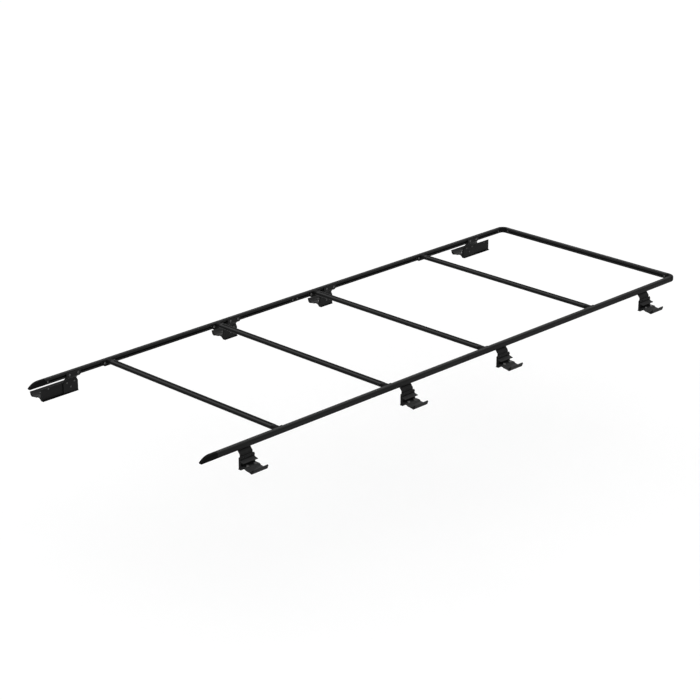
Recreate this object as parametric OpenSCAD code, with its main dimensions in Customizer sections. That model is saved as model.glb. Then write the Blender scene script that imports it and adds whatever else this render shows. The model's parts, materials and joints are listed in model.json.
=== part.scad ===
// Roof ladder rack for a panel van: two side rails, each in two lengths, a rear rail,
// four crossbars and eight roof feet whose lower extrusions form an awning shelf.
// Millimetres. X runs along the vehicle with the tapered front at -X, Y across it, Z up.
// The origin is under the middle of the rack, on the underside of the foot pads.
// Foot and rail sections are drawn as (distance outboard of the rail centre, height).

/* [Overall] */
// Front tip to the back of the rear rail.
overall_length = 3650; // [3000:10:4200]
// Between the centre lines of the two side rails.
rail_spacing = 1300; // [1100:10:1500]
// Rail centre above the underside of the pads.
rail_height = 112.5; // [95:0.5:150]

/* [Rails] */
// Rail section, across the vehicle.
rail_w = 26; // [22:1:40]
// Rail section, height.
rail_h = 32; // [28:1:50]
// Outer edge radius on the outboard side.
rail_r_out = 9; // [4:0.5:12]
// Outer edge radius on the inboard side.
rail_r_in = 6; // [3:0.5:9]
// Rail wall.
rail_wall = 3; // [2:0.5:5]
// Slot mouth in the inboard face.
slot_w = 9; // [7:0.5:12]
// Slot cavity, height.
slot_cavity_h = 17; // [14:0.5:20]
// Slot lip thickness.
slot_lip = 3.5; // [2:0.5:5]
// Slot cavity depth behind the lip.
slot_depth = 6; // [5:0.5:9]

/* [End caps and corners] */
// Front tip to the joint between cap and rail.
cap_length = 97; // [60:1:140]
// Length of the curved nose.
nose_length = 62; // [40:1:90]
// Radius of the nose, seen from the side.
nose_r = 90; // [62:1:160]
// Bend radius of the rear corners, on the rail centre line.
corner_r = 34; // [24:1:60]
// Straight leg of a rear corner beyond the bend.
corner_leg = 8; // [4:1:30]
// Length of the plugs that fill the rail ends.
plug_length = 34; // [20:1:60]
// Where the two lengths of a side rail meet.
splice_x = 24; // [-40:1:60]
// Width of the joiner's band that shows between the two lengths.
splice_band = 3; // [1:0.5:10]

/* [Crossbars] */
// Crossbar positions along X.
bar_x = [-1317, -559, 177, 1067];
// Flat oval tube, along the vehicle.
bar_w = 38; // [30:1:60]
// Flat oval tube, height.
bar_h = 22; // [18:1:32]
// Tube wall.
bar_wall = 2; // [1.5:0.5:4]
// Tube centre above the rail centre.
bar_lift = 5; // [0:0.5:10]
// Rail centre line to the end of the tube.
bar_gap = 45; // [35:1:70]
// Width of the rubber strip along the top of a bar.
strip_w = 14; // [8:1:15]
// Depth of the groove that holds the strip.
strip_groove = 1; // [0.5:0.1:1.2]
// Height of the strip above the bar.
strip_stand = 0.8; // [0.3:0.1:2]
// End of the tube to the end of the strip.
strip_inset = 8; // [2:1:40]
// Half the length of the end bracket's plate.
ear_half = 42; // [38:1:60]
// End bracket screws, either side of the bar.
ear_screw_x = 30; // [26:0.5:32]

/* [Feet] */
// Foot positions along X.
foot_x = [-1551, -441, 297, 1520];
// Width of a foot along the rail.
foot_w = 94; // [70:1:140]
// Length of the two wide awning brackets.
wide_length = 230; // [120:1:300]
// Bent plate thickness.
plate_t = 5; // [3:0.5:8]
// Width of the plate where it hugs the rail.
flange_w = 94; // [80:1:140]
// Width of the plate's waist.
waist_w = 79; // [60:1:90]
// Lower leg of the plate, outboard of the rail centre.
leg_o = 14.5; // [10:0.5:30]
// Angle of the slanted part of the plate, below horizontal.
slant_angle = 50; // [30:1:70]
// Flange screws, apart along the rail.
flange_screw_pitch = 55.4; // [40:0.2:80]
// Joining screws, apart along the foot.
joint_screw_pitch = 47; // [30:1:70]
// Awning wall thickness.
wall_t = 4; // [3:0.5:6]
// Roof bolts, apart along the foot.
roof_bolt_pitch = 45; // [30:1:70]
// Roof bolt line, outboard of the rail centre.
roof_bolt_o = 47; // [40:0.5:60]
// Rubber pad thickness.
pad_t = 3; // [2:0.5:8]

/* [Fasteners] */
// M8 shank radius.
m8_r = 3.95; // [3.9:0.01:4]
// M8 clearance hole radius.
m8_hole_r = 4.5; // [4.1:0.1:5]
// M6 shank radius.
m6_r = 2.95; // [2.9:0.01:3]
// M6 clearance hole radius.
m6_hole_r = 3.3; // [3.1:0.1:4]

/* [Hidden] */
$fn = 64;
LEFT = -1;
RIGHT = 1;

x_front = -overall_length / 2;
x_back = overall_length / 2;
x_rear_rail = x_back - rail_w / 2;
x_rail_start = x_front + cap_length;
x_rail_end = x_rear_rail - corner_r - corner_leg;
x_front_length_end = splice_x - splice_band / 2;
x_rear_length_start = splice_x + splice_band / 2;
y_rail = rail_spacing / 2;
y_rear_rail_end = y_rail - corner_r - corner_leg;

// Colours.
RAIL_BLACK = "#26282a";
BAR_BLACK = "#303234";
CAST_BLACK = "#17181a";
PLATE_BLACK = "#222426";
FOOT_BLACK = "#1e2022";
RUBBER_BLACK = "#101010";
STAINLESS = "#9a9c9e";
ZINC = "#8a8c8e";
BOLT_STEEL = "#b4b6b8";

// Rail section, as distances outboard of the rail centre.
inner = -rail_w / 2;
lip_back = inner + slot_lip;
cavity_back = lip_back + slot_depth;
chamber_o = cavity_back + rail_wall;
chamber_r = 1.5;
fit_gap = 0.3;

// Slot nuts.
nut_t = 5;
nut_x = 20;
nut_z = 16;

// Feet: faces outboard of the rail centre, and heights from it.
flange_face = inner - plate_t;
z_ground = -rail_height;
z_base = z_ground + pad_t;
face_gap = 0.2;

leg_face = leg_o - plate_t / 2;
wall_face = leg_o + plate_t / 2;
wall_back = wall_face + wall_t;
base_o = 27;
z_wall_top = -47;
z_shelf = -93.2;
web_back = 26;
pad_lip = 4;

// Awning foot outline, as [outboard, height above the rail centre, corner radius].
// From the base: shelf underside, seat underside, lip, seat, step, shelf, tongue, groove, ridge.
AWNING_OUTLINE = [
  [wall_face, z_base, 0], [base_o, z_base, 2], [34, -103, 4], [42, -99, 4], [54.5, -99.6, 3],
  [62.5, -103.6, 3], [84, -106, 4], [102, -110.2, 5], [111.5, -103.5, 8], [117.5, -85.5, 1.8],
  [112.5, -82.8, 1.8], [100, -94.5, 8], [89, -101.6, 6], [66, -100.3, 2], [56.5, z_shelf, 2],
  [web_back, z_shelf, 2], [web_back, -86, 1], [28, -83, 3], [28, -73.8, 2], [44.5, -76, 1.4],
  [46.5, -72.4, 1.4], [27.5, -68.8, 2], [22.5, -65, 2], [22.5, -59, 1], [25.3, -56.6, 1],
  [23.4, -54, 1], [wall_back, -49.5, 2], [wall_back, z_wall_top, 1.5], [wall_face, z_wall_top, 0.5]
];
joint_z = -53.5;
lower_joint_z = -80;
joint_depth = 9;
lock_offset = 140;
lock_length = wall_t + 4;

bar_z = bar_lift;
strip_side_gap = 0.1;
tube_end = y_rail - bar_gap;
ear_low = -18;
ear_high = 14;
bracket_w = bar_w - 2;
bracket_h = bar_h - 2;
spigot_length = 40;
ear_mid = (ear_high + ear_low) / 2;
ear_r = (ear_high - ear_low) / 2;

// Screws: how far in the plug and joiner screws sit, and how deep each screw goes.
plug_screw_inset = 13;
joiner_screw_x = splice_band / 2 + 16;
screw_grip = 8.4;
m8_grip = plate_t + slot_lip + fit_gap + nut_t;
tap_gap = 0.05;

// Roof bolts. Their holes are wide enough to line up with the inserts in the roof.
roof_hole_r = 5.25;
washer_r = 8.5;
washer_t = 1.6;
bolt_head_r = 7.5;
bolt_head_h = 5.6;
bolt_end = z_ground + 3;

// Bent foot plate, followed down its middle line from the flange to the lower leg.
flange_top = 10;
waist_top = -7;
waist_drop = 12;
waist_low = -50;
bend_r = 8;
under_o = inner - plate_t / 2;
under_z = -rail_h / 2 - plate_t / 2 - face_gap;
slant_o = -1;
slant_end_z = under_z - (leg_o - slant_o) * tan(slant_angle);
PLATE_PATH = [
  [under_o, flange_top, 0], [under_o, under_z, rail_r_in + plate_t / 2 - 1], [slant_o, under_z, bend_r],
  [leg_o, slant_end_z, bend_r], [leg_o, z_base, 0]
];

// Front view of the foot plate, right half: [along the rail, height, corner radius].
plate_edge = [
  [flange_w / 2, flange_top, 4], [flange_w / 2, waist_top, 3], [waist_w / 2, waist_top - waist_drop, 14],
  [waist_w / 2, waist_low, 3], [foot_w / 2, waist_low - 3, 2], [foot_w / 2, z_base - 1, 0]
];

// ---- helpers ----

module on_side(side) {
  if (side > 0)
    children();
  else
    mirror([0, 1, 0])
      children();
}

// Moves a piece drawn about the rail centre to the rail of that side.
module at_rail(side) {
  on_side(side)
    translate([0, y_rail, rail_height])
      children();
}

module along_x(x_from, length) {
  translate([x_from, 0, 0])
    rotate([90, 0, 90])
      linear_extrude(height = length)
        children();
}

module along_y(length) {
  translate([0, length / 2, 0])
    rotate([90, 0, 0])
      linear_extrude(height = length)
        children();
}

// Cylinder along +Y, which is outboard.
module peg(x, o, z, r, length) {
  translate([x, o, z])
    rotate([-90, 0, 0])
      cylinder(r = r, h = length);
}

// Takes the outside of a corner off a square, leaving an arc of radius r.
module corner_cut(o, z, so, sz, r) {
  translate([o - so * r, z - sz * r])
    scale([so, sz])
      difference() {
        square(r + 1);
        circle(r = r);
      }
}

module rounded_box(o_low, o_high, half_h, r_low, r_high) {
  difference() {
    translate([o_low, -half_h])
      square([o_high - o_low, 2 * half_h]);
    for (s = [-1, 1]) {
      corner_cut(o_low, s * half_h, -1, s, r_low);
      corner_cut(o_high, s * half_h, 1, s, r_high);
    }
  }
}

module flat_oval(w, h) {
  square([w - h, h], center = true);
  for (s = [-1, 1])
    translate([s * (w - h) / 2, 0])
      circle(r = h / 2);
}

function unit(v) = v / norm(v);
function flat(p) = [p[0], p[1]];
function left_of(v) = unit([-v[1], v[0]]);
function shorter_turn(a) = a > 180 ? a - 360 : a < -180 ? a + 360 : a;

// Points that round the corner b between a and c.
function fillet(a, b, c, r, steps = 6) =
  r == 0 ? [b] :
  let (
    u = unit(a - b),
    v = unit(c - b),
    half = acos(u * v) / 2,
    centre = b + unit(u + v) * r / sin(half),
    from = b + u * r / tan(half) - centre,
    to = b + v * r / tan(half) - centre,
    start = atan2(from[1], from[0]),
    sweep = shorter_turn(atan2(to[1], to[0]) - start)
  )
  [for (i = [0 : steps]) centre + r * [cos(start + sweep * i / steps), sin(start + sweep * i / steps)]];

// A closed outline of [x, y, corner radius], with its corners rounded.
function rounded(outline) =
  let (n = len(outline))
  [for (i = [0 : n - 1])
    each fillet(flat(outline[(i + n - 1) % n]), flat(outline[i]), flat(outline[(i + 1) % n]), outline[i][2])];

// Point i of a path of [x, y, bend radius], moved to one side by d.
function offset_point(path, i, d) =
  let (
    last = len(path) - 1,
    here = flat(path[i]),
    before = left_of(here - flat(path[max(i - 1, 0)])),
    after = left_of(flat(path[min(i + 1, last)]) - here),
    normal = i == 0 ? after : i == last ? before : unit(before + after),
    reach = i == 0 || i == last ? d : d / (normal * before),
    bends_left = i == 0 || i == last ? 0 : sign(before[0] * after[1] - before[1] * after[0]),
    r = path[i][2]
  )
  [here[0] + normal[0] * reach, here[1] + normal[1] * reach, r == 0 ? 0 : r - bends_left * d];

// The outline of a strip of thickness t that follows a path.
function strip_outline(path, t) =
  let (last = len(path) - 1)
  rounded(concat(
    [for (i = [0 : last]) offset_point(path, i, t / 2)],
    [for (i = [last : -1 : 0]) offset_point(path, i, -t / 2)]
  ));

// ---- rails, corners and caps ----

module rail_outline() {
  rounded_box(inner, rail_w / 2, rail_h / 2, rail_r_in, rail_r_out);
}

module rail_section() {
  difference() {
    rail_outline();
    translate([inner - 1, -slot_w / 2])
      square([slot_lip + 2, slot_w]);
    translate([lip_back, -slot_cavity_h / 2])
      square([slot_depth, slot_cavity_h]);
    rounded_box(chamber_o, rail_w / 2 - rail_wall, rail_h / 2 - rail_wall, chamber_r, rail_r_out - rail_wall);
  }
}

// Two prongs that fill a rail end: one in the chamber, one in the slot.
module plug_section() {
  rounded_box(chamber_o + fit_gap, rail_w / 2 - rail_wall - fit_gap,
    rail_h / 2 - rail_wall - fit_gap, chamber_r, rail_r_out - rail_wall - fit_gap);
  translate([lip_back + fit_gap, -slot_cavity_h / 2 + fit_gap])
    square([slot_depth - 2 * fit_gap, slot_cavity_h - 2 * fit_gap]);
}

module side_rail(side, x_from, x_to) {
  color(RAIL_BLACK)
    at_rail(side)
      along_x(x_from, x_to - x_from)
        rail_section();
}

// Joins the two lengths of a side rail: a plug each way from a thin band.
module rail_joiner(side) {
  color(CAST_BLACK)
    at_rail(side)
      difference() {
        union() {
          along_x(x_front_length_end, splice_band)
            rail_outline();
          along_x(x_front_length_end - plug_length, splice_band + 2 * plug_length)
            plug_section();
        }
        for (s = [-1, 1])
          peg(splice_x + s * joiner_screw_x, inner, 0, m6_r + tap_gap, screw_grip);
      }
}

module rear_rail() {
  color(RAIL_BLACK)
    translate([x_rear_rail, 0, rail_height])
      along_y(2 * y_rear_rail_end)
        rail_section();
}

module corner(side) {
  color(CAST_BLACK)
    at_rail(side)
      difference() {
        union() {
          translate([x_rear_rail - corner_r, -corner_r, 0])
            rotate_extrude(angle = 90)
              translate([corner_r, 0])
                rail_outline();
          along_x(x_rail_end, corner_leg)
            rail_outline();
          along_x(x_rail_end - plug_length, plug_length)
            plug_section();
          translate([x_rear_rail, -corner_r, 0])
            rotate([90, 0, 0])
              linear_extrude(height = corner_leg)
                rail_outline();
          translate([x_rear_rail, -corner_r - corner_leg, 0])
            rotate([90, 0, 0])
              linear_extrude(height = plug_length)
                plug_section();
        }
        peg(x_rail_end - plug_screw_inset, inner, 0, m6_r + tap_gap, screw_grip);
        translate([x_rear_rail + inner, -corner_r - corner_leg - plug_screw_inset, 0])
          rotate([0, 90, 0])
            cylinder(r = m6_r + tap_gap, h = screw_grip);
      }
}

// The nose follows one arc down to the tip; its bottom stays flat.
module nose() {
  core_r = 20;
  translate([x_front, 0, 0])
    intersection() {
      translate([nose_length, 0, rail_h / 2 - nose_r])
        rotate([90, 0, 0])
          rotate_extrude()
            union() {
              translate([nose_r - rail_h / 2, 0])
                rotate(-90)
                  rounded_box(inner, rail_w / 2, rail_h / 2, rail_r_in, rail_r_out);
              translate([core_r, inner])
                square([nose_r - rail_h / 2 - core_r, rail_w]);
            }
      along_x(0, nose_length)
        union() {
          rail_outline();
          translate([inner, 0])
            square([rail_w, rail_h]);
        }
    }
}

module end_cap(side) {
  color(CAST_BLACK)
    at_rail(side)
      difference() {
        union() {
          nose();
          along_x(x_front + nose_length, cap_length - nose_length)
            rail_outline();
          along_x(x_rail_start, plug_length)
            plug_section();
        }
        peg(x_rail_start + plug_screw_inset, inner, 0, m6_r + tap_gap, screw_grip);
      }
}

// ---- screws ----

// Button-head screw whose head sits inboard of o and whose shank runs outboard.
module button_screw(x, o, z, r, length) {
  head_r = 1.7 * r;
  head_h = 0.95 * r;
  rim_h = 0.45 * head_h;
  crown_r = 0.72 * head_r;
  socket_r = 0.62 * r;
  socket_depth = 0.6 * head_h;
  difference() {
    union() {
      peg(x, o - rim_h, z, head_r, rim_h);
      translate([x, o - rim_h, z])
        rotate([90, 0, 0])
          cylinder(r1 = head_r, r2 = crown_r, h = head_h - rim_h);
      peg(x, o, z, r, length);
    }
    translate([x, o - head_h, z])
      rotate([-90, 0, 0])
        cylinder(r = socket_r, h = socket_depth, $fn = 6);
  }
}

// Screws that hold the plugs of the end caps, corners and joiners in the rails.
module rail_plug_screws() {
  color(STAINLESS)
    for (side = [LEFT, RIGHT])
      at_rail(side) {
        button_screw(x_rail_start + plug_screw_inset, inner, 0, m6_r, screw_grip);
        button_screw(x_rail_end - plug_screw_inset, inner, 0, m6_r, screw_grip);
        translate([x_rear_rail, -corner_r - corner_leg - plug_screw_inset, 0])
          rotate([0, 0, -90])
            button_screw(0, inner, 0, m6_r, screw_grip);
        for (s = [-1, 1])
          button_screw(splice_x + s * joiner_screw_x, inner, 0, m6_r, screw_grip);
      }
}

module slot_nut(x) {
  difference() {
    translate([x - nut_x / 2, lip_back + fit_gap, -nut_z / 2])
      cube([nut_x, nut_t, nut_z]);
    peg(x, lip_back, 0, m8_r + tap_gap, slot_depth);
  }
}

// ---- crossbars ----

module crossbar(n) {
  color(BAR_BLACK)
    translate([bar_x[n - 1], 0, rail_height + bar_z])
      along_y(2 * tube_end)
        difference() {
          flat_oval(bar_w, bar_h);
          flat_oval(bar_w - 2 * bar_wall, bar_h - 2 * bar_wall);
          translate([-strip_w / 2 - strip_side_gap, bar_h / 2 - strip_groove])
            square([strip_w + 2 * strip_side_gap, strip_groove + 1]);
        }
}

module crossbar_strip(n) {
  color(RUBBER_BLACK)
    translate([bar_x[n - 1], 0, rail_height + bar_z])
      along_y(2 * (tube_end - strip_inset))
        translate([-strip_w / 2, bar_h / 2 - strip_groove])
          square([strip_w, strip_groove + strip_stand]);
}

module crossbar_end(n, side) {
  color(CAST_BLACK)
    at_rail(side)
      translate([bar_x[n - 1], 0, 0])
        difference() {
          union() {
            translate([0, flange_face, bar_z])
              rotate([90, 0, 0])
                linear_extrude(height = bar_gap + flange_face)
                  flat_oval(bracket_w, bracket_h);
            translate([0, -bar_gap, bar_z])
              rotate([90, 0, 0])
                linear_extrude(height = spigot_length)
                  flat_oval(bar_w - 2 * bar_wall - 2 * fit_gap, bar_h - 2 * bar_wall - 2 * fit_gap);
            translate([0, inner - face_gap, ear_mid])
              rotate([90, 0, 0])
                linear_extrude(height = plate_t - face_gap)
                  flat_oval(2 * ear_half, 2 * ear_r);
          }
          for (s = [-1, 1])
            peg(s * ear_screw_x, flange_face - 1, 0, m8_hole_r, plate_t + 2);
        }
}

module crossbar_screws(n) {
  color(STAINLESS)
    for (side = [LEFT, RIGHT], s = [-1, 1])
      at_rail(side)
        button_screw(bar_x[n - 1] + s * ear_screw_x, flange_face, 0, m8_r, m8_grip);
}

module crossbar_slot_nuts(n) {
  color(ZINC)
    for (side = [LEFT, RIGHT], s = [-1, 1])
      at_rail(side)
        slot_nut(bar_x[n - 1] + s * ear_screw_x);
}

// ---- feet ----

module plate_outline() {
  last = len(plate_edge) - 1;
  left_half = [for (i = [last : -1 : 0]) [-plate_edge[i][0], plate_edge[i][1], plate_edge[i][2]]];
  polygon(rounded(concat(plate_edge, left_half)));
}

module foot_plate(side, n) {
  x = foot_x[n - 1];
  color(PLATE_BLACK)
    at_rail(side)
      difference() {
        intersection() {
          along_x(x - flange_w / 2 - 1, flange_w + 2)
            polygon(strip_outline(PLATE_PATH, plate_t));
          translate([x, wall_face + 1, 0])
            rotate([90, 0, 0])
              linear_extrude(height = wall_face + 2 - flange_face + 1)
                plate_outline();
        }
        for (s = [-1, 1]) {
          peg(x + s * flange_screw_pitch / 2, flange_face - 1, 0, m8_hole_r, plate_t + 2);
          peg(x + s * joint_screw_pitch / 2, leg_face - 1, joint_z, m6_hole_r, plate_t + 2);
        }
        peg(x, leg_face - 1, lower_joint_z, m6_hole_r, plate_t + 2);
      }
}

// Where the lower extrusion starts and how long it is.
function wide(side, n) = side == RIGHT && (n == 1 || n == 4);
function shelf_length(side, n) = wide(side, n) ? wide_length : foot_w;
function shelf_from(side, n) =
  foot_x[n - 1] + (wide(side, n) && n == 1 ? foot_w / 2 - wide_length : -foot_w / 2);
function lock_x(n) = foot_x[n - 1] + (n == 1 ? -1 : 1) * lock_offset;

module awning_foot(side, n) {
  x = foot_x[n - 1];
  color(FOOT_BLACK)
    at_rail(side)
      difference() {
        along_x(shelf_from(side, n), shelf_length(side, n))
          polygon(rounded(AWNING_OUTLINE));
        for (s = [-1, 1]) {
          translate([x + s * roof_bolt_pitch / 2, roof_bolt_o, z_ground])
            cylinder(r = roof_hole_r, h = z_shelf - z_ground + 1);
          peg(x + s * joint_screw_pitch / 2, wall_face - 1, joint_z, m6_r + tap_gap, wall_t + 5);
        }
        peg(x, wall_face - 1, lower_joint_z, m6_r + tap_gap, joint_depth);
        if (wide(side, n))
          peg(lock_x(n), wall_face - 1, joint_z, m6_r + tap_gap, wall_t + 5);
      }
}

module pads(side) {
  color(RUBBER_BLACK)
    at_rail(side)
      for (n = [1 : len(foot_x)])
        along_x(shelf_from(side, n), shelf_length(side, n))
          translate([leg_face - pad_lip, z_ground])
            square([base_o - leg_face + pad_lip, pad_t]);
}

module foot_flange_screws() {
  color(STAINLESS)
    for (side = [LEFT, RIGHT], x = foot_x, s = [-1, 1])
      at_rail(side)
        button_screw(x + s * flange_screw_pitch / 2, flange_face, 0, m8_r, m8_grip);
}

module foot_slot_nuts() {
  color(ZINC)
    for (side = [LEFT, RIGHT], x = foot_x, s = [-1, 1])
      at_rail(side)
        slot_nut(x + s * flange_screw_pitch / 2);
}

// Screws that join each plate to its awning foot, and two whose tips press on the awning's case.
module foot_m6_screws() {
  color(STAINLESS) {
    for (side = [LEFT, RIGHT], x = foot_x)
      at_rail(side) {
        for (s = [-1, 1])
          button_screw(x + s * joint_screw_pitch / 2, leg_face, joint_z, m6_r, plate_t + wall_t);
        button_screw(x, leg_face, lower_joint_z, m6_r, plate_t + wall_t);
      }
    for (n = [1, len(foot_x)])
      at_rail(RIGHT)
        button_screw(lock_x(n), wall_face, joint_z, m6_r, lock_length);
  }
}

module roof_bolts() {
  color(BOLT_STEEL)
    for (side = [LEFT, RIGHT], x = foot_x, s = [-1, 1])
      at_rail(side)
        translate([x + s * roof_bolt_pitch / 2, roof_bolt_o, 0]) {
          translate([0, 0, z_shelf])
            cylinder(r = washer_r, h = washer_t);
          translate([0, 0, z_shelf + washer_t])
            cylinder(r = bolt_head_r, h = bolt_head_h, $fn = 6);
          translate([0, 0, bolt_end])
            cylinder(r = m8_r, h = z_shelf + washer_t - bolt_end);
        }
}

// ---- nodes ----

side_rail(LEFT, x_rail_start, x_front_length_end);  // side_rail_left_front
side_rail(LEFT, x_rear_length_start, x_rail_end);  // side_rail_left_rear
side_rail(RIGHT, x_rail_start, x_front_length_end);  // side_rail_right_front
side_rail(RIGHT, x_rear_length_start, x_rail_end);  // side_rail_right_rear
rear_rail();
corner(LEFT);  // corner_left
corner(RIGHT);  // corner_right
end_cap(LEFT);  // end_cap_left
end_cap(RIGHT);  // end_cap_right
rail_joiner(LEFT);  // rail_joiner_left
rail_joiner(RIGHT);  // rail_joiner_right
rail_plug_screws();
crossbar(1);  // crossbar_1
crossbar(2);  // crossbar_2
crossbar(3);  // crossbar_3
crossbar(4);  // crossbar_4
crossbar_end(1, LEFT);  // crossbar_1_end_left
crossbar_end(1, RIGHT);  // crossbar_1_end_right
crossbar_end(2, LEFT);  // crossbar_2_end_left
crossbar_end(2, RIGHT);  // crossbar_2_end_right
crossbar_end(3, LEFT);  // crossbar_3_end_left
crossbar_end(3, RIGHT);  // crossbar_3_end_right
crossbar_end(4, LEFT);  // crossbar_4_end_left
crossbar_end(4, RIGHT);  // crossbar_4_end_right
crossbar_strip(1);  // crossbar_1_strip
crossbar_strip(2);  // crossbar_2_strip
crossbar_strip(3);  // crossbar_3_strip
crossbar_strip(4);  // crossbar_4_strip
crossbar_screws(1);  // crossbar_1_screws
crossbar_screws(2);  // crossbar_2_screws
crossbar_screws(3);  // crossbar_3_screws
crossbar_screws(4);  // crossbar_4_screws
crossbar_slot_nuts(1);  // crossbar_1_slot_nuts
crossbar_slot_nuts(2);  // crossbar_2_slot_nuts
crossbar_slot_nuts(3);  // crossbar_3_slot_nuts
crossbar_slot_nuts(4);  // crossbar_4_slot_nuts
foot_plate(LEFT, 1);  // foot_plate_left_1
foot_plate(LEFT, 2);  // foot_plate_left_2
foot_plate(LEFT, 3);  // foot_plate_left_3
foot_plate(LEFT, 4);  // foot_plate_left_4
foot_plate(RIGHT, 1);  // foot_plate_right_1
foot_plate(RIGHT, 2);  // foot_plate_right_2
foot_plate(RIGHT, 3);  // foot_plate_right_3
foot_plate(RIGHT, 4);  // foot_plate_right_4
awning_foot(LEFT, 1);  // awning_foot_left_1
awning_foot(LEFT, 2);  // awning_foot_left_2
awning_foot(LEFT, 3);  // awning_foot_left_3
awning_foot(LEFT, 4);  // awning_foot_left_4
awning_foot(RIGHT, 1);  // awning_foot_right_1
awning_foot(RIGHT, 2);  // awning_foot_right_2
awning_foot(RIGHT, 3);  // awning_foot_right_3
awning_foot(RIGHT, 4);  // awning_foot_right_4
pads(LEFT);  // pads_left
pads(RIGHT);  // pads_right
foot_flange_screws();
foot_slot_nuts();
foot_m6_screws();
roof_bolts();
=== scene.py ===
"""Looks of the roof ladder rack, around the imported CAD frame.

Lengths are in metres. The CAD rails, tubes, plates and castings keep their shapes and get materials here.
Screws, bolts, slot nuts, pads and strips are replaced by pieces with threads, sockets and ribs.
"""
import json
import math

import bmesh
import bpy
from mathutils import Euler, Matrix, Vector


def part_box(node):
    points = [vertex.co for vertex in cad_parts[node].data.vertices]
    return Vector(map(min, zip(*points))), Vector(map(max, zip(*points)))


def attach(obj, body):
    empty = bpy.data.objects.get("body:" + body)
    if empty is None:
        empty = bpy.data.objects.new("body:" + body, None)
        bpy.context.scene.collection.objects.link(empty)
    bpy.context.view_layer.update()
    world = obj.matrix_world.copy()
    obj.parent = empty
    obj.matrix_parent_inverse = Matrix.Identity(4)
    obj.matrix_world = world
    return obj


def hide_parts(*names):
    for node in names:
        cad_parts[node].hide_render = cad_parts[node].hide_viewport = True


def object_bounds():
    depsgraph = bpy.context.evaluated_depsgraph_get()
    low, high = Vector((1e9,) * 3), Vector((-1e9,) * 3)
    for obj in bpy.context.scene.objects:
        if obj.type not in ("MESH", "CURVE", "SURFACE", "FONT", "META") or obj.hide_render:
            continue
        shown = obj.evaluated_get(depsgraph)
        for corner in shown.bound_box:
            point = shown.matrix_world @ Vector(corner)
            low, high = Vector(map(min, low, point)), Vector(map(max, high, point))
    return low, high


MM = 0.001
FULL_TURN = 2 * math.pi

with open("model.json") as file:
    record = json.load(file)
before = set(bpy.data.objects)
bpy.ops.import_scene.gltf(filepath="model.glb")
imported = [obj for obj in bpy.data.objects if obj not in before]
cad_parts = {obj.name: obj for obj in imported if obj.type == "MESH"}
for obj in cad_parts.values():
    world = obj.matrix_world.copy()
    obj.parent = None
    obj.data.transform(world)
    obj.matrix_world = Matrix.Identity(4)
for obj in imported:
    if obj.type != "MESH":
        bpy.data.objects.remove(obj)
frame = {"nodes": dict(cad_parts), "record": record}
nodes = frame["nodes"]
cad_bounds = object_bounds()
slot_of = {row["node"]: row["material_slot"] for row in frame["record"]["subparts"]}
body_of = {node: body for body, members in frame["record"]["behaviour"]["bodies"].items() for node in members}


# ---------------------------------------------------------------- shader helpers

BEVEL_SAMPLES = 6
EDGE_LEAN = (0.015, 0.2)
OCCLUSION_SAMPLES = 6


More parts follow.
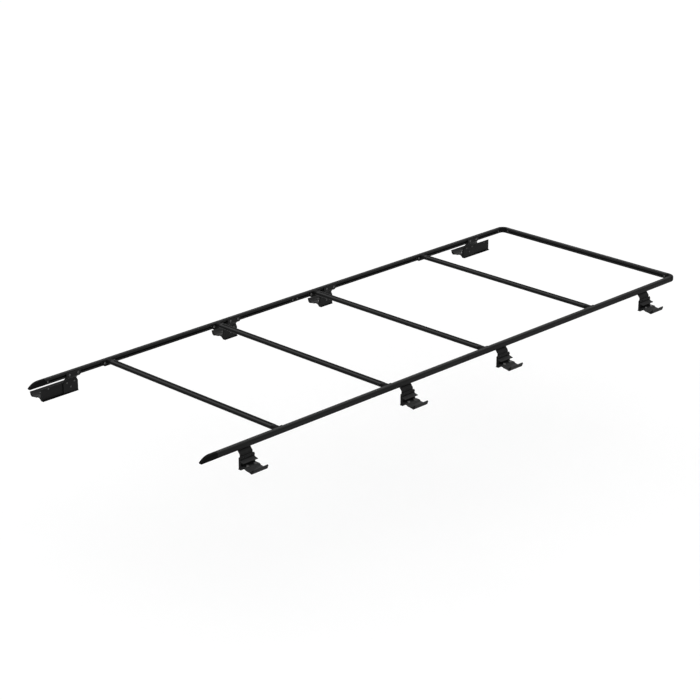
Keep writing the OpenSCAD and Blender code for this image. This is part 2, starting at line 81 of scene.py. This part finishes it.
class Shader:
    """A material's node tree around one Principled shader. Noise scales are in cycles per metre."""

    def __init__(self, name, **values):
        self.material = bpy.data.materials.new(name)
        self.material.use_nodes = True
        self.tree = self.material.node_tree
        self.tree.nodes.clear()
        output = self.tree.nodes.new("ShaderNodeOutputMaterial")
        self.principled = self.tree.nodes.new("ShaderNodeBsdfPrincipled")
        self.tree.links.new(self.principled.outputs["BSDF"], output.inputs["Surface"])
        for socket, value in values.items():
            self.principled.inputs[socket.replace("_", " ")].default_value = value

    def add(self, kind, links=None, values=None, **settings):
        """A new node with its settings, its unlinked values and its links."""
        node = self.tree.nodes.new("ShaderNode" + kind)
        for key, value in settings.items():
            setattr(node, key, value)
        for key, value in (values or {}).items():
            node.inputs[key].default_value = value
        for key, source in (links or {}).items():
            self.tree.links.new(source, node.inputs[key])
        return node

    def place(self, stretch=(1, 1, 1)):
        """Object coordinates in metres, scaled along each axis."""
        coordinates = self.add("TexCoord").outputs["Object"]
        return self.add("Mapping", {"Vector": coordinates}, {"Scale": stretch}).outputs["Vector"]

    def noise(self, vector, scale, detail=2.0, rough=0.5):
        values = {"Scale": scale, "Detail": detail, "Roughness": rough}
        return self.add("TexNoise", {"Vector": vector}, values).outputs["Fac"]

    def cells(self, vector, scale, feature):
        node = self.add("TexVoronoi", {"Vector": vector}, {"Scale": scale}, feature=feature)
        return node.outputs["Distance"]

    def ramp(self, source, low, high, to_low=0.0, to_high=1.0):
        values = {"From Min": low, "From Max": high, "To Min": to_low, "To Max": to_high}
        return self.add("MapRange", {"Value": source}, values).outputs["Result"]

    def mix(self, factor, first, second):
        node = self.add("Mix", {"Factor": factor}, data_type="RGBA")
        for socket, colour in ((node.inputs[6], first), (node.inputs[7], second)):
            if isinstance(colour, bpy.types.NodeSocket):
                self.tree.links.new(colour, socket)
            else:
                socket.default_value = (*colour, 1)
        return node.outputs[2]

    def math(self, operation, first, second):
        node = self.add("Math", operation=operation)
        for socket, value in ((node.inputs[0], first), (node.inputs[1], second)):
            if isinstance(value, bpy.types.NodeSocket):
                self.tree.links.new(value, socket)
            else:
                socket.default_value = value
        return node.outputs[0]

    def edges(self, radius):
        """1 along convex and concave edges, 0 on flats, from how far a bevelled normal leans."""
        bevelled = self.add("Bevel", values={"Radius": radius}, samples=BEVEL_SAMPLES).outputs["Normal"]
        flat = self.add("NewGeometry").outputs["True Normal"]
        dot = self.add("VectorMath", {0: bevelled, 1: flat}, operation="DOT_PRODUCT").outputs["Value"]
        return self.ramp(self.math("SUBTRACT", 1.0, dot), *EDGE_LEAN)

    def openness(self, reach, low=0.35, high=0.85):
        """0 deep in grooves and under overhangs, 1 in the open."""
        values = {"Distance": reach}
        open_sky = self.add("AmbientOcclusion", values=values, samples=OCCLUSION_SAMPLES).outputs["AO"]
        return self.ramp(open_sky, low, high)

    def normal_along(self, axis, low, high):
        """0 where the normal's part along an axis is low, 1 where it is high."""
        normal = self.add("NewGeometry").outputs["Normal"]
        return self.ramp(self.add("SeparateXYZ", {"Vector": normal}).outputs[axis], low, high)

    def bump(self, height, strength, distance, below=None):
        links = {"Height": height}
        if below is not None:
            links["Normal"] = below
        return self.add("Bump", links, {"Strength": strength, "Distance": distance}).outputs["Normal"]

    def finish(self, colour=None, roughness=None, normal=None):
        wanted = (("Base Color", colour), ("Roughness", roughness), ("Normal", normal))
        for socket, source in wanted:
            if source is not None:
                self.tree.links.new(source, self.principled.inputs[socket])
        return self.material


# ---------------------------------------------------------------- materials

PEEL_SCALE = 620
DIE_LINE_SCALE = 260
WEATHER_SCALE = 9
SCUFF_SCALE = 140
FLECK_SCALE = 1500
# Faces whose normal points this far towards the front get painted shade.
TOWARDS_FRONT = (-0.95, -0.6)


def times(factor, colour):
    return [factor * c for c in colour]


def powder_coat(
    name, tone, edge_wear_highlight_tone, grain, gloss=0.5, top_light=2.3, level=(0.4, 1.0), rub=0.9 * MM, reach=12 * MM, shade=0.25
):
    """Satin black powder coat: orange peel, die lines, painted light on upward faces, edges painted lighter
    as wear and painted highlight, and painted shade in the recesses and on the faces towards the front.

    The top-light factor paints faces lighter as their normal rises through level, as light from above would;
    the edge colour shows on edges rub wide; and shade sets the painted shade in recesses reach deep and on
    the fronts.
    """
    s = Shader(name, Specular_IOR_Level=0.14)
    place = s.place()
    peel = s.noise(place, PEEL_SCALE, 3, 0.55)
    lines = s.noise(s.place(grain), DIE_LINE_SCALE, 4, 0.6)
    patches = s.noise(place, WEATHER_SCALE, 5, 0.6)
    scuffs = s.noise(place, SCUFF_SCALE, 6, 0.7)
    # Edge wear and painted highlight: edges are painted lighter, broken up by scuffs.
    edge_wear_highlight = s.math("MULTIPLY", s.edges(rub), s.ramp(scuffs, 0.42, 0.68, 0.1, 0.8))
    base = s.mix(s.ramp(patches, 0.35, 0.7), tone, times(1.3, tone))
    # Painted light: faces turned upwards are painted lighter, in patches, as if lit from above.
    lit_top_mask = s.math("MULTIPLY", s.normal_along("Z", *level), s.ramp(patches, 0.3, 0.7, 0.75, 1.0))
    lit_top_colour = s.mix(lit_top_mask, base, times(top_light, tone))
    fleck = s.mix(s.ramp(s.noise(place, FLECK_SCALE, 1), 0.6, 0.75, 0, 0.5), lit_top_colour, times(1.9, tone))
    # Painted shade: recesses and faces towards the front are painted darker, down to shade times the tone.
    unshaded = s.math("MULTIPLY", s.openness(reach), s.normal_along("X", *TOWARDS_FRONT))
    colour = s.mix(unshaded, times(shade, tone), s.mix(edge_wear_highlight, fleck, edge_wear_highlight_tone))
    gloss_patches = s.ramp(patches, 0.3, 0.7, gloss - 0.06, gloss + 0.08)
    roughness = s.math("ADD", gloss_patches, s.ramp(lines, 0.3, 0.7, 0, 0.05))
    normal = s.bump(lines, 0.12, 0.02 * MM, s.bump(peel, 0.25, 0.05 * MM))
    return s.finish(colour, roughness, normal)


CAST_GRAIN_SCALE = 420
CAST_PIT_SCALE = 700
CAST_PATCH_SCALE = 25
# Width of the lighter edges on castings, painted as edge wear and painted highlight.
CAST_EDGE_WEAR_HIGHLIGHT = 1.1 * MM


def cast_coat(name, tone, edge_wear_highlight_tone):
    """Black coat over a die casting: coarser grain, soft mould texture, edges painted lighter as edge wear
    and painted highlight.
    """
    s = Shader(name, Specular_IOR_Level=0.08)
    place = s.place()
    grain = s.noise(place, CAST_GRAIN_SCALE, 5, 0.7)
    pits = s.cells(place, CAST_PIT_SCALE, "SMOOTH_F1")
    patches = s.noise(place, CAST_PATCH_SCALE, 4, 0.6)
    # Edge wear and painted highlight: edges are painted lighter, broken up by the grain.
    edge_wear_highlight = s.math("MULTIPLY", s.edges(CAST_EDGE_WEAR_HIGHLIGHT), s.ramp(grain, 0.4, 0.65, 0.1, 0.7))
    base = s.mix(s.ramp(patches, 0.3, 0.7), tone, times(1.5, tone))
    normal = s.bump(pits, 0.2, 0.05 * MM, s.bump(grain, 0.3, 0.08 * MM))
    return s.finish(s.mix(edge_wear_highlight, base, edge_wear_highlight_tone), s.ramp(grain, 0.3, 0.7, 0.46, 0.62), normal)


SPARK_SCALE = 1100
FLOW_STRETCH = (6, 30, 30)
FLOW_SCALE = 3
PLASTIC_SCUFF_SCALE = 300
PLASTIC_RUB = 0.7 * MM


def moulded_plastic(name, tone):
    """Glass-filled black nylon: spark-eroded grain, faint flow marks, slightly greyed edges."""
    s = Shader(name, Specular_IOR_Level=0.06)
    place = s.place()
    spark = s.cells(place, SPARK_SCALE, "F1")
    flow = s.noise(s.place(FLOW_STRETCH), FLOW_SCALE, 4, 0.65)
    scuffs = s.noise(place, PLASTIC_SCUFF_SCALE, 4)
    greyed = s.math("MULTIPLY", s.edges(PLASTIC_RUB), s.ramp(scuffs, 0.4, 0.7, 0.1, 0.6))
    base = s.mix(s.ramp(flow, 0.3, 0.7), tone, times(1.45, tone))
    normal = s.bump(spark, 0.22, 0.04 * MM)
    return s.finish(s.mix(greyed, base, times(4, tone)), s.ramp(flow, 0.3, 0.7, 0.5, 0.62), normal)


BLOOM_SCALE = 60
MOULD_GRAIN_SCALE = 900


def moulded_rubber(name, tone):
    """EPDM pad: matt, with a chalky bloom and a fine mould grain."""
    s = Shader(name, Specular_IOR_Level=0.12)
    place = s.place()
    bloom = s.noise(place, BLOOM_SCALE, 5, 0.7)
    grain = s.noise(place, MOULD_GRAIN_SCALE, 3, 0.6)
    colour = s.mix(s.ramp(bloom, 0.45, 0.75, 0, 0.8), tone, times(2.4, tone))
    return s.finish(colour, s.ramp(bloom, 0.3, 0.7, 0.78, 0.92), s.bump(grain, 0.35, 0.06 * MM))


TURNING_SCALE = 900
STAIN_SCALE = 180
# How far the painted shade in recesses reaches.
RECESS_SHADE_REACH = 2.5 * MM


def bright_metal(name, tone, tint, brushed, low=0.28, high=0.42):
    """Stainless or zinc: turned lines, faint fingerprints of a second tint, and painted shade that darkens
    the recesses.
    """
    s = Shader(name, Metallic=1.0)
    place = s.place()
    turned = s.noise(s.place(brushed), TURNING_SCALE, 3, 0.6)
    stain = s.noise(place, STAIN_SCALE, 5, 0.65)
    base = s.mix(s.ramp(stain, 0.45, 0.7), tone, tint)
    # Painted shade: recesses are painted darker.
    colour = s.mix(s.openness(RECESS_SHADE_REACH, 0.35, 0.95), times(0.22, tone), base)
    roughness = s.math("ADD", s.ramp(stain, 0.3, 0.7, low, high), s.ramp(turned, 0.3, 0.7, 0, 0.1))
    return s.finish(colour, roughness, s.bump(turned, 0.15, 0.02 * MM))


def grey(value):
    """A very slightly cool grey."""
    return (value, value * 1.005, value * 1.01)


# How far the die lines and turned lines are stretched: little along the grain, fully across it.
NO_GRAIN = (1, 1, 1)
ALONG_X = (0.02, 1, 1)
ALONG_Y = (1, 0.02, 1)
ALONG_Z = (1, 1, 0.05)
# Edge colours: paint worn through, and a painted highlight along the edges.
EDGE_WEAR_HIGHLIGHT = grey(0.045)
BRIGHT_EDGE_WEAR_HIGHLIGHT = grey(0.09)

# After the grain come the gloss, how much lighter upward faces are painted as painted light from above, and
# the range of normals over which that grows.
MATERIALS = {
    "rail_extrusion": powder_coat("rail_black", grey(0.0115), EDGE_WEAR_HIGHLIGHT, ALONG_X, 0.47),
    # The rear rail has the same coat as the side rails, painted lighter and with little painted shade on its
    # front faces, for the light that falls on it.
    "rear_rail_extrusion": powder_coat("rear_rail_black", grey(0.019), EDGE_WEAR_HIGHLIGHT, ALONG_Y, 0.47, shade=0.9),
    "bar_tube": powder_coat("bar_black", grey(0.0145), EDGE_WEAR_HIGHLIGHT, ALONG_Y, 0.5, 3.4, (0.2, 0.95)),
    "foot_plate_steel": powder_coat("plate_black", grey(0.0125), BRIGHT_EDGE_WEAR_HIGHLIGHT, NO_GRAIN, 0.5, rub=1.4 * MM),
    "awning_extrusion": powder_coat(
        "awning_black", grey(0.0115), BRIGHT_EDGE_WEAR_HIGHLIGHT, ALONG_X, 0.45, 4.2, (0.4, 1.0), 1.6 * MM, 18 * MM
    ),
    "corner_casting": cast_coat("corner_black", grey(0.006), EDGE_WEAR_HIGHLIGHT),
    "bar_end_casting": cast_coat("bar_end_black", grey(0.005), EDGE_WEAR_HIGHLIGHT),
    "cap_plastic": moulded_plastic("cap_black", grey(0.0042)),
    "pad_rubber": moulded_rubber("pad_black", grey(0.006)),
    "strip_rubber": moulded_rubber("strip_black", grey(0.0095)),
    "bright_screw": bright_metal("stainless_screw", grey(0.15), (0.11, 0.107, 0.10), ALONG_Z, 0.34, 0.46),
    "slot_nut_steel": bright_metal("zinc_nut", grey(0.30), (0.27, 0.28, 0.25), ALONG_X, 0.4, 0.55),
    "roof_bolt_steel": bright_metal("stainless_bolt", grey(0.42), (0.34, 0.33, 0.31), ALONG_Z),
}


# ---------------------------------------------------------------- mesh helpers

def islands(node):
    """The lowest and highest corner of each separate solid in a CAD node."""
    bm = bmesh.new()
    bm.from_mesh(nodes[node].data)
    bmesh.ops.remove_doubles(bm, verts=bm.verts, dist=0.001 * MM)
    left = set(bm.verts)
    found = []
    while left:
        group = [left.pop()]
        for v in group:
            for e in v.link_edges:
                other = e.other_vert(v)
                if other in left:
                    left.remove(other)
                    group.append(other)
        low = Vector(min(v.co[i] for v in group) for i in range(3))
        high = Vector(max(v.co[i] for v in group) for i in range(3))
        found.append((low, high))
    bm.free()
    return sorted(found, key=lambda corners: tuple(corners[0]))


def polygon_ring(corners, per_side):
    """Points evenly spaced along the sides of a polygon centred on the origin."""
    ring = []
    for i, a in enumerate(corners):
        b = corners[(i + 1) % len(corners)]
        ring += [a.lerp(b, k / per_side) for k in range(per_side)]
    return ring


def hexagon(radius, per_side):
    turns = [FULL_TURN * k / 6 for k in range(6)]
    return polygon_ring([Vector((radius * math.cos(a), radius * math.sin(a))) for a in turns], per_side)


def at_height(ring, z):
    return [Vector((p.x, p.y, z)) for p in ring]


def round_ring(like, radius, z):
    """A circle whose points stand at the same angles as those of another ring."""
    return [Vector((p.x / p.length * radius, p.y / p.length * radius, z)) for p in like]


def skin(bm, rings, matrix, closed=False):
    """Quads between rings of equal length, with both ends capped or joined to each other."""
    made = [[bm.verts.new(matrix @ p) for p in ring] for ring in rings]
    count = len(rings[0])
    pairs = list(zip(made, made[1:])) + ([(made[-1], made[0])] if closed else [])
    for a, b in pairs:
        for i in range(count):
            j = (i + 1) % count
            bm.faces.new((a[i], a[j], b[j], b[i]))
    if not closed:
        bm.faces.new(list(reversed(made[0])))
        bm.faces.new(made[-1])


SHARP_FROM = math.radians(32)


def new_piece(name, bm, slot, body, replaced=()):
    """Turns a bmesh into a smooth piece that rides on a body and stands for CAD nodes."""
    bmesh.ops.recalc_face_normals(bm, faces=bm.faces)
    for face in bm.faces:
        face.smooth = True
    mesh = bpy.data.meshes.new(name)
    bm.to_mesh(mesh)
    bm.free()
    mesh.set_sharp_from_angle(angle=SHARP_FROM)
    piece = bpy.data.objects.new(name, mesh)
    bpy.context.scene.collection.objects.link(piece)
    mesh.materials.append(MATERIALS[slot])
    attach(piece, body)
    if replaced:
        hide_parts(*replaced)
    return piece


THREAD_DEPTH_OVER_PITCH = 0.54


def thread_rings(like, radius, low, high, pitch, rows):
    """A helical thread, rows rings to a pitch, whose radius follows the helix; it fades out at both ends."""
    depth = THREAD_DEPTH_OVER_PITCH * pitch
    count = max(2, round((high - low) / pitch * rows))
    rings = []
    for k in range(count + 1):
        z = low + (high - low) * k / count
        fade = min(1.0, (z - low) / pitch, (high - z) / pitch)
        ring = []
        for p in like:
            turn = math.atan2(p.y, p.x) / FULL_TURN
            phase = (z / pitch - turn) % 1.0
            cut = depth * fade * (1 - abs(2 * phase - 1))
            ring.append(Vector((p.x, p.y, 0)).normalized() * (radius - cut) + Vector((0, 0, z)))
        rings.append(ring)
    return rings


def aimed_at(point, direction):
    """A frame at a point whose Z runs along a direction."""
    return Matrix.Translation(point) @ direction.to_track_quat("Z", "Y").to_matrix().to_4x4()


# ---------------------------------------------------------------- fasteners

SCREW_POINTS_PER_SIDE = 4
SCREW_ROWS_PER_PITCH = 5
DOME_STEPS = 7
RIM_SHARE = 0.34
SHANK_OVER_HEAD = 1 / 1.7
SCREW_HEAD_H_OVER_SHANK = 0.95
M6_PITCH = 1.0 * MM
M8_PITCH = 1.25 * MM
M8_LEAST_HEAD_R = 6.0 * MM


def button_screw(bm, matrix, head_r, head_h, length, pitch):
    """Button-head screw with a hex socket and a threaded shank: bearing face at z = 0, head towards +Z."""
    shank = head_r * SHANK_OVER_HEAD
    socket = hexagon(0.60 * shank, SCREW_POINTS_PER_SIDE)
    rings = [round_ring(socket, 0.3 * shank, -length), round_ring(socket, 0.82 * shank, -length)]
    rings += thread_rings(socket, shank, -length + 0.2 * shank, -0.1 * shank, pitch, SCREW_ROWS_PER_PITCH)
    rings += [round_ring(socket, shank, 0), round_ring(socket, 0.97 * head_r, 0)]
    rings += [round_ring(socket, head_r, 0.06 * head_h), round_ring(socket, head_r, RIM_SHARE * head_h)]
    flat_r = 0.78 * shank
    for step in range(1, DOME_STEPS + 1):
        lean = step / DOME_STEPS * math.pi / 2
        radius = flat_r + (head_r - flat_r) * math.cos(lean)
        rings.append(round_ring(socket, radius, (RIM_SHARE + (1 - RIM_SHARE) * math.sin(lean)) * head_h))
    rings.append(round_ring(socket, 0.70 * shank, 0.97 * head_h))
    rings.append(at_height(socket, 0.88 * head_h))
    rings.append(at_height([p * 0.99 for p in socket], 0.32 * head_h))
    rings.append(round_ring(socket, 0.12 * shank, 0.16 * head_h))
    skin(bm, rings, matrix)


def screw_set(node):
    """A button screw in the place of every solid in a CAD node. Each solid's longest side is its axis."""
    bm = bmesh.new()
    for low, high in islands(node):
        size = high - low
        axis = max(range(3), key=lambda i: size[i])
        middle = (low + high) / 2
        inward = -1.0 if middle[axis] > 0 else 1.0
        head_r = min(size[i] for i in range(3) if i != axis) / 2
        head_h = SCREW_HEAD_H_OVER_SHANK * head_r * SHANK_OVER_HEAD
        bearing = middle.copy()
        bearing[axis] = (low if inward < 0 else high)[axis] - inward * head_h
        direction = Vector((0, 0, 0))
        direction[axis] = inward
        pitch = M8_PITCH if head_r > M8_LEAST_HEAD_R else M6_PITCH
        button_screw(bm, aimed_at(bearing, direction), head_r, head_h, size[axis] - head_h, pitch)
    new_piece(node + "_threaded", bm, "bright_screw", body_of[node], [node])


BOLT_POINTS_PER_SIDE = 6
BOLT_ROWS_PER_PITCH = 7
CHAMFER_SLOPE = 1.6


def hex_bolt(bm, matrix, across_corners, head_h, shank_r, length, pitch):
    """Hex bolt with chamfered corners and a threaded shank: bearing face at z = 0, head towards +Z."""
    outline = hexagon(across_corners / 2, BOLT_POINTS_PER_SIDE)
    across_flats = across_corners * math.cos(math.pi / 6)
    rings = [round_ring(outline, 0.3 * shank_r, -length), round_ring(outline, 0.8 * shank_r, -length)]
    rings += thread_rings(outline, shank_r, -length + 0.25 * shank_r, -0.5 * MM, pitch, BOLT_ROWS_PER_PITCH)
    rings += [round_ring(outline, shank_r, 0), round_ring(outline, 0.49 * across_flats, 0)]
    rings.append(round_ring(outline, 0.49 * across_flats, 0.4 * MM))
    rings.append(at_height(outline, 0.45 * MM))
    for drop in (1.15 * MM, 0.75 * MM, 0.35 * MM, 0.0):
        cone = 0.485 * across_flats + CHAMFER_SLOPE * drop
        rings.append(at_height([p * min(1.0, cone / p.length) for p in outline], head_h - drop))
    rings.append(round_ring(outline, 0.40 * across_flats, head_h - 0.25 * MM))
    skin(bm, rings, matrix)


def plain_washer(bm, matrix, outer, inner, thick):
    """Flat washer from z = 0 up, with both rims eased."""
    ease = 0.2 * MM
    like = hexagon(outer, 8)
    profile = [
        (inner, ease), (inner + ease, 0), (outer - ease, 0), (outer, ease),
        (outer, thick - ease), (outer - ease, thick), (inner + ease, thick), (inner, thick - ease)
    ]
    skin(bm, [round_ring(like, r, z) for r, z in profile], matrix, closed=True)


BOLT_TURN_STEP = 17
WASHER_T = 1.6 * MM
BOLT_HEAD_H = 5.6 * MM
BOLT_HEAD_ACROSS = 15.0 * MM
M8_SHANK_R = 3.95 * MM
WASHER_BORE_GAP = 0.2 * MM


def roof_bolts():
    """Hex bolts and washers on the shelves, one of each for every solid of the CAD node."""
    bolts = bmesh.new()
    washers = bmesh.new()
    for index, (low, high) in enumerate(islands("roof_bolts")):
        centre = (low + high) / 2
        seat = high.z - BOLT_HEAD_H - WASHER_T
        foot = Matrix.Translation((centre.x, centre.y, seat))
        plain_washer(washers, foot, (high.x - low.x) / 2, M8_SHANK_R + WASHER_BORE_GAP, WASHER_T)
        turned = Matrix.Rotation(math.radians(BOLT_TURN_STEP * index % 60), 4, "Z")
        head = Matrix.Translation((centre.x, centre.y, seat + WASHER_T)) @ turned
        hex_bolt(bolts, head, BOLT_HEAD_ACROSS, BOLT_HEAD_H, M8_SHANK_R, seat + WASHER_T - low.z, M8_PITCH)
    new_piece("roof_bolt_set", bolts, "roof_bolt_steel", "rack", ["roof_bolts"])
    new_piece("roof_bolt_washers", washers, "roof_bolt_steel", "rack")


NUT_EASE = 0.6 * MM
NUT_COUNTERSINK_R = 0.5 * MM
NUT_COUNTERSINK_DEPTH = 0.4 * MM
NUT_BORE_GAP = 0.05 * MM


def slot_nut(bm, low, high):
    """Sliding nut: a block with eased edges and a countersunk bore through its thin side, along Y."""
    half = (high - low) / 2
    centre = (low + high) / 2
    corners = [Vector((half.x * sx, half.z * sz)) for sx, sz in ((1, 1), (-1, 1), (-1, -1), (1, -1))]
    outline = polygon_ring(corners, 8)
    shrink = [Vector((p.x * (1 - NUT_EASE / half.x), p.y * (1 - NUT_EASE / half.z))) for p in outline]
    bore = M8_SHANK_R + NUT_BORE_GAP
    mouth = bore + NUT_COUNTERSINK_R
    depth = half.y - NUT_COUNTERSINK_DEPTH
    rings = [round_ring(outline, bore, -depth), round_ring(outline, mouth, -half.y)]
    rings += [at_height(shrink, -half.y), at_height(outline, -half.y + NUT_EASE)]
    rings += [at_height(outline, half.y - NUT_EASE), at_height(shrink, half.y)]
    rings += [round_ring(outline, mouth, half.y), round_ring(outline, bore, depth)]
    upright = Matrix.Rotation(math.pi / 2, 4, "X")
    skin(bm, rings, Matrix.Translation(centre) @ upright, closed=True)


def nut_set(node):
    bm = bmesh.new()
    for low, high in islands(node):
        slot_nut(bm, low, high)
    new_piece(node + "_threaded", bm, "slot_nut_steel", body_of[node], [node])


# ---------------------------------------------------------------- rubber pads

RIB_PITCH = 3.0 * MM
RIB_DEPTH = 0.9 * MM
RIB_FLUTE = ((-0.75, 0), (-0.5, 0.75), (-0.2, 1), (0.2, 1), (0.5, 0.75), (0.75, 0))
PAD_EASE = 0.5 * MM
PAD_END_SHARE = 0.72


def rubber_pad(bm, low, high):
    """Moulded pad: flutes along its underside and eased edges all round."""
    centre_y = (low.y + high.y) / 2
    half = (high.y - low.y) / 2
    outline = [(-half + PAD_EASE, high.z), (-half, high.z - PAD_EASE), (-half, low.z + PAD_EASE)]
    outline.append((-half + PAD_EASE, low.z))
    ribs = int((2 * half - 2 * RIB_PITCH) / RIB_PITCH)
    start = -ribs * RIB_PITCH / 2
    for k in range(ribs):
        y = start + (k + 0.5) * RIB_PITCH
        for dy, dz in RIB_FLUTE:
            outline.append((y + dy * MM, low.z + dz * RIB_DEPTH))
    outline += [(half - PAD_EASE, low.z), (half, low.z + PAD_EASE), (half, high.z - PAD_EASE)]
    outline.append((half - PAD_EASE, high.z))
    middle_z = (low.z + high.z) / 2
    inset = [((1 - PAD_EASE / half) * y, middle_z + (z - middle_z) * PAD_END_SHARE) for y, z in outline]
    ends = ((low.x, inset), (low.x + PAD_EASE, outline), (high.x - PAD_EASE, outline), (high.x, inset))
    rings = [[Vector((x, centre_y + y, z)) for y, z in section] for x, section in ends]
    skin(bm, rings, Matrix.Identity(4))


def pad_set(node):
    bm = bmesh.new()
    for low, high in islands(node):
        rubber_pad(bm, low, high)
    new_piece(node + "_moulded", bm, "pad_rubber", body_of[node], [node])


# ---------------------------------------------------------------- rubber strips on the crossbars

STRIP_RIBS = 5
STRIP_RIB_DEPTH = 0.45 * MM
STRIP_CROWN = 0.35 * MM
STRIP_SIDE_EASE = 0.3 * MM
STRIP_STEPS_PER_RIB = 8
STRIP_END_SLOPE = 3 * MM
STRIP_END_SHARE = 0.45


def strip_piece(node):
    """Extruded strip along a crossbar: a low crown with ribs along it, and sloped ends."""
    low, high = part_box(node)
    centre_x = (low.x + high.x) / 2
    half = (high.x - low.x) / 2
    top = [(-half, low.z), (-half, high.z - STRIP_CROWN - STRIP_RIB_DEPTH)]
    steps = STRIP_RIBS * STRIP_STEPS_PER_RIB
    for k in range(steps + 1):
        u = -1 + 2 * k / steps
        groove = STRIP_RIB_DEPTH * (0.5 - 0.5 * math.cos(FULL_TURN * STRIP_RIBS * (u + 1) / 2 + math.pi))
        sunken = STRIP_CROWN * u * u + (groove if 0 < k < steps else 0)
        top.append((u * (half - STRIP_SIDE_EASE), high.z - sunken))
    top += [(half, high.z - STRIP_CROWN - STRIP_RIB_DEPTH), (half, low.z)]
    sunk = [(x, low.z + (z - low.z) * STRIP_END_SHARE) for x, z in top]
    ends = ((low.y, sunk), (low.y + STRIP_END_SLOPE, top), (high.y - STRIP_END_SLOPE, top), (high.y, sunk))
    rings = [[Vector((centre_x + x, y, z)) for x, z in section] for y, section in ends]
    bm = bmesh.new()
    skin(bm, rings, Matrix.Identity(4))
    new_piece(node + "_ribbed", bm, "strip_rubber", body_of[node], [node])


# ---------------------------------------------------------------- carried-over CAD nodes

WELD_WITHIN = 0.002 * MM
EASED_FROM = math.radians(38)


def ease_edges(obj, width):
    """Rounds the sharp edges of a CAD node with modifiers only."""
    weld = obj.modifiers.new("weld", "WELD")
    weld.merge_threshold = WELD_WITHIN
    bevel = obj.modifiers.new("ease", "BEVEL")
    bevel.width = width
    bevel.segments = 2
    bevel.limit_method = "ANGLE"
    bevel.angle_limit = EASED_FROM
    bevel.harden_normals = True
    normals = obj.modifiers.new("normals", "WEIGHTED_NORMAL")
    normals.keep_sharp = True


EASED = {
    "rail_extrusion": 0.35 * MM,
    "bar_tube": 0.3 * MM,
    "foot_plate_steel": 0.5 * MM,
    "awning_extrusion": 0.35 * MM,
    "corner_casting": 0.5 * MM,
    "bar_end_casting": 0.6 * MM,
    "cap_plastic": 0.4 * MM,
}


def dress_cad_nodes():
    """Gives every CAD node its slot's material; the rear rail has its own, as its grain runs along Y and its
    coat is painted lighter, with little painted shade on its front faces, for the light on it.
    """
    for name, obj in nodes.items():
        slot = slot_of[name]
        material = MATERIALS["rear_rail_extrusion" if name == "rear_rail" else slot]
        obj.data.materials.clear()
        obj.data.materials.append(material)
        if slot in EASED:
            ease_edges(obj, EASED[slot])


# ---------------------------------------------------------------- studio

CAMERA_AT = Vector((-7.7935, -7.526, 4.1725))
CAMERA_HEADING = math.radians(44.673)
CAMERA_DIP = math.radians(21.125)
LENS_MM = 110.16
SENSOR_MM = 36.0
FAR_CLIP = 200.0
FLOOR_HALF = 40.0
FLOOR_DROP = 0.8
FLOOR_CLOUDS = ((0.90, 0.90, 0.90), (0.93, 0.93, 0.93))
SURROUND = 0.3
SKY_LIGHT = 2.62
SKY_SPREAD = 150
SKY_LEAN = -8
CONTRAST = 0.88


def camera():
    data = bpy.data.cameras.new("camera")
    data.lens = LENS_MM
    data.sensor_width = SENSOR_MM
    data.clip_end = FAR_CLIP
    obj = bpy.data.objects.new("camera", data)
    obj.location = CAMERA_AT
    obj.rotation_euler = Euler((math.pi / 2 - CAMERA_DIP, 0, CAMERA_HEADING - math.pi / 2))
    bpy.context.scene.collection.objects.link(obj)
    bpy.context.scene.camera = obj


def soft_sky_light():
    """Even light from overhead, as from a cloudy sky or a very large softbox."""
    data = bpy.data.lights.new("overhead", "SUN")
    data.energy = SKY_LIGHT
    data.angle = math.radians(SKY_SPREAD)
    obj = bpy.data.objects.new("overhead", data)
    obj.rotation_euler = Euler((math.radians(SKY_LEAN), 0, 0))
    bpy.context.scene.collection.objects.link(obj)


def pale_floor():
    """A large floor well below the raised rack, so that its shadow is too faint to see."""
    s = Shader("studio_floor", Specular_IOR_Level=0.0)
    cloud = s.noise(s.place(), 0.6, 2)
    material = s.finish(s.mix(cloud, *FLOOR_CLOUDS), s.ramp(cloud, 0, 1, 0.85, 0.95))
    bm = bmesh.new()
    bmesh.ops.create_grid(bm, x_segments=8, y_segments=8, size=FLOOR_HALF)
    bmesh.ops.translate(bm, vec=(0, 0, cad_bounds[0][2] - FLOOR_DROP), verts=bm.verts)
    mesh = bpy.data.meshes.new("studio_floor")
    bm.to_mesh(mesh)
    bm.free()
    mesh.materials.append(material)
    floor = bpy.data.objects.new("studio_floor", mesh)
    bpy.context.scene.collection.objects.link(floor)


def surround():
    """A world that lights the rack dimly, but is seen as white as the floor."""
    world = bpy.data.worlds.new("surround")
    world.use_nodes = True
    tree = world.node_tree
    dim = tree.nodes["Background"]
    dim.inputs["Color"].default_value = (1, 1, 1, 1)
    dim.inputs["Strength"].default_value = SURROUND
    white = tree.nodes.new("ShaderNodeBackground")
    white.inputs["Color"].default_value = (1, 1, 1, 1)
    seen = tree.nodes.new("ShaderNodeMixShader")
    rays = tree.nodes.new("ShaderNodeLightPath")
    tree.links.new(rays.outputs["Is Camera Ray"], seen.inputs["Fac"])
    tree.links.new(dim.outputs["Background"], seen.inputs[1])
    tree.links.new(white.outputs["Background"], seen.inputs[2])
    tree.links.new(seen.outputs["Shader"], tree.nodes["World Output"].inputs["Surface"])
    bpy.context.scene.world = world


def plain_view():
    view = bpy.context.scene.view_settings
    view.view_transform = "Standard"
    view.gamma = CONTRAST


# ---------------------------------------------------------------- build

camera()
pale_floor()
surround()
soft_sky_light()
plain_view()
dress_cad_nodes()
for node_name in sorted(nodes):
    if node_name.endswith("_screws"):
        screw_set(node_name)
    elif node_name.endswith("_slot_nuts"):
        nut_set(node_name)
    elif node_name.endswith("_strip"):
        strip_piece(node_name)
    elif node_name.startswith("pad"):
        pad_set(node_name)
roof_bolts()
